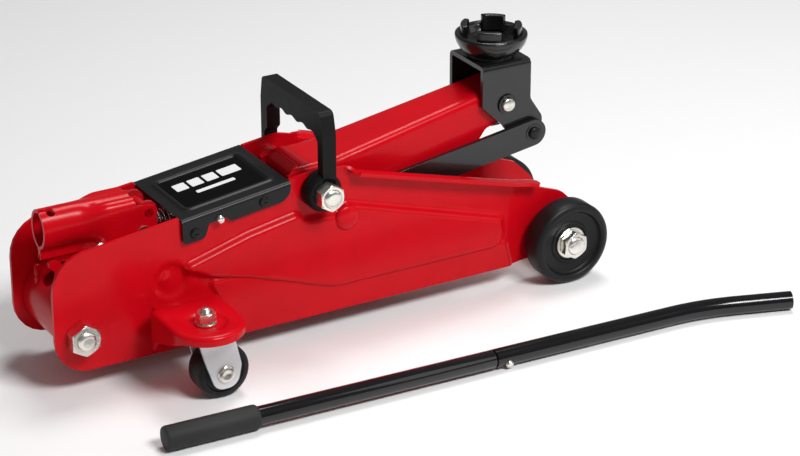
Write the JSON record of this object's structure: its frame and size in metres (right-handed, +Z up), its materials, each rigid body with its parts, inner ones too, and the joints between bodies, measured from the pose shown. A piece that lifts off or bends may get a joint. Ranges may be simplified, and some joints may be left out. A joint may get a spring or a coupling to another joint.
{
  "type": "hydraulic floor jack",
  "caption": "Low trolley jack with a hydraulic ram that swings up a lift arm and keeps its round saddle level, rolling on wheels and swivel casters, with a separate pump lever.",
  "frame": {"origin": "middle of the footprint of the whole object, jack and lever together, on the floor", "axes": "+X along the jack from the pump socket to the front wheels, +Y to the jack's left, +Z up"},
  "size_m": [0.5622, 0.314, 0.209],
  "materials": {
    "red_paint": "gloss",
    "black_paint": "satin",
    "black_plastic": "matte",
    "black_polymer_wheel": "matte",
    "zinc_plate": "satin",
    "bright_steel": "bright",
    "label": "gloss",
    "saddle_cast": "satin"
  },
  "bodies": {
    "chassis": {"side_plate_right": "red_paint", "side_plate_left": "red_paint", "rear_cross_tube": "red_paint", "rear_tie_rod": "zinc_plate", "rear_tie_nut_right": "zinc_plate", "rear_tie_nut_left": "zinc_plate", "cover_plate": "black_paint", "cover_label": "label", "cover_dowel_pin": "zinc_plate", "cover_screw_front_right": "black_paint", "cover_screw_front_left": "black_paint", "cover_screw_rear_right": "black_paint", "cover_screw_rear_left": "black_paint", "main_shaft": "zinc_plate", "main_nut": "zinc_plate", "main_shaft_clip": "zinc_plate", "front_axle": "zinc_plate", "front_washer_right": "zinc_plate", "front_washer_left": "zinc_plate", "front_nut_right": "zinc_plate", "front_nut_left": "zinc_plate", "link_pivot_right": "red_paint", "link_pivot_left": "red_paint", "power_unit_block": "red_paint", "reservoir_tube": "red_paint", "pump_spring": "bright_steel", "return_spring_right": "bright_steel", "return_spring_left": "bright_steel", "caster_bracket_right": "red_paint", "caster_bracket_left": "red_paint"},
    "lift_arm": {"lift_arm": "red_paint", "crank_roller": "bright_steel"},
    "saddle_bracket": {"saddle_bracket": "black_paint", "saddle_pin": "zinc_plate", "link_pin": "black_paint"},
    "saddle": {"saddle": "saddle_cast"},
    "link_right": {"link_bar_right": "black_paint"},
    "link_left": {"link_bar_left": "black_paint"},
    "ram": {"ram_rod": "bright_steel"},
    "socket": {"handle_socket": "red_paint", "socket_pivot_pin": "red_paint", "pump_roller_pin": "zinc_plate"},
    "pump_piston": {"pump_piston": "bright_steel"},
    "release_valve": {"release_valve": "zinc_plate"},
    "carry_handle": {"carry_handle": "black_plastic"},
    "front_wheel_right": {"front_wheel_right": "black_polymer_wheel"},
    "front_wheel_left": {"front_wheel_left": "black_polymer_wheel"},
    "lever": {"lever_lower_tube": "black_paint", "lever_upper_tube": "black_paint", "lever_grip": "black_plastic"},
    "lever_button": {"lever_button": "zinc_plate"},
    "caster_fork_right": {"caster_fork_right": "zinc_plate", "caster_rivet_right": "zinc_plate", "caster_nut_right": "zinc_plate"},
    "caster_wheel_right": {"caster_wheel_right": "black_polymer_wheel"},
    "caster_fork_left": {"caster_fork_left": "zinc_plate", "caster_rivet_left": "zinc_plate", "caster_nut_left": "zinc_plate"},
    "caster_wheel_left": {"caster_wheel_left": "black_polymer_wheel"}
  },
  "joints": [
    {"name": "arm_lift", "type": "hinge", "parent": "chassis", "child": "lift_arm", "pos_m": [-0.06244, 0.03897, 0.12211], "axis": [0, -1, 0], "range_deg": [-23.5, 50]},
    {"name": "bracket_level", "type": "hinge", "parent": "lift_arm", "child": "saddle_bracket", "pos_m": [0.11586, 0.03897, 0.14951], "axis": [0, -1, 0], "range_deg": [-50, 23.5]},
    {"name": "saddle_spin", "type": "hinge", "parent": "saddle_bracket", "child": "saddle", "pos_m": [0.11586, 0.03897, 0.18371], "axis": [0, 0, 1], "continuous": true},
    {"name": "link_swing_right", "type": "hinge", "parent": "chassis", "child": "link_right", "pos_m": [-0.03984, 0.01077, 0.09481], "axis": [0, -1, 0], "range_deg": [-23.5, 50]},
    {"name": "link_swing_left", "type": "hinge", "parent": "chassis", "child": "link_left", "pos_m": [-0.03984, 0.06717, 0.09481], "axis": [0, -1, 0], "range_deg": [-23.5, 50]},
    {"name": "ram_stroke", "type": "slide", "parent": "chassis", "child": "ram", "axis": [1, 0, 0], "range_m": [-0.02219, 0.04711], "deforming": ["return_spring_right", "return_spring_left"]},
    {"name": "socket_pump", "type": "hinge", "parent": "chassis", "child": "socket", "pos_m": [-0.19114, 0.03897, 0.12131], "axis": [0, 1, 0], "range_deg": [0, 50]},
    {"name": "pump_stroke", "type": "slide", "parent": "chassis", "child": "pump_piston", "axis": [0.9903, 0, -0.1392], "range_m": [-0.0104, 0.0001], "deforming": ["pump_spring"]},
    {"name": "release_turn", "type": "hinge", "parent": "chassis", "child": "release_valve", "pos_m": [-0.23014, 0.03897, 0.05631], "axis": [-1, 0, 0], "range_deg": [0, 270]},
    {"name": "handle_fold", "type": "hinge", "parent": "chassis", "child": "carry_handle", "pos_m": [-0.06244, 0.03897, 0.12211], "axis": [0, 1, 0], "range_deg": [-35, 8]},
    {"name": "front_wheel_spin_right", "type": "hinge", "parent": "chassis", "child": "front_wheel_right", "pos_m": [0.15626, -0.01503, 0.03431], "axis": [0, 1, 0], "continuous": true},
    {"name": "front_wheel_spin_left", "type": "hinge", "parent": "chassis", "child": "front_wheel_left", "pos_m": [0.15626, 0.09297, 0.03431], "axis": [0, 1, 0], "continuous": true},
    {"name": "caster_swivel_right", "type": "hinge", "parent": "chassis", "child": "caster_fork_right", "pos_m": [-0.18274, -0.05103, 0.05631], "axis": [0, 0, 1], "continuous": true},
    {"name": "caster_wheel_spin_right", "type": "hinge", "parent": "caster_fork_right", "child": "caster_wheel_right", "pos_m": [-0.17374, -0.05103, 0.02131], "axis": [0, 1, 0], "continuous": true},
    {"name": "caster_swivel_left", "type": "hinge", "parent": "chassis", "child": "caster_fork_left", "pos_m": [-0.18274, 0.12897, 0.05631], "axis": [0, 0, 1], "continuous": true},
    {"name": "caster_wheel_spin_left", "type": "hinge", "parent": "caster_fork_left", "child": "caster_wheel_left", "pos_m": [-0.17374, 0.12897, 0.02131], "axis": [0, 1, 0], "continuous": true},
    {"name": "lever_pick_up", "type": "slide", "parent": "chassis", "child": "lever", "axis": [0, 0, 1], "range_m": [0, 0.2]},
    {"name": "lever_button_press", "type": "slide", "parent": "lever", "child": "lever_button", "axis": [0, 0.866, 0.5], "range_m": [0, 0.0025], "stiffness_N_per_m": 50}
  ],
  "couplings": [
    {"joint": "bracket_level", "follows": "arm_lift", "ratio": -1},
    {"joint": "link_swing_right", "follows": "arm_lift", "ratio": 1},
    {"joint": "link_swing_left", "follows": "arm_lift", "ratio": 1},
    {"joint": "ram_stroke", "follows": "arm_lift", "m_per_rad": 0.05387},
    {"joint": "pump_stroke", "follows": "socket_pump", "m_per_rad": -0.01175}
  ]
}
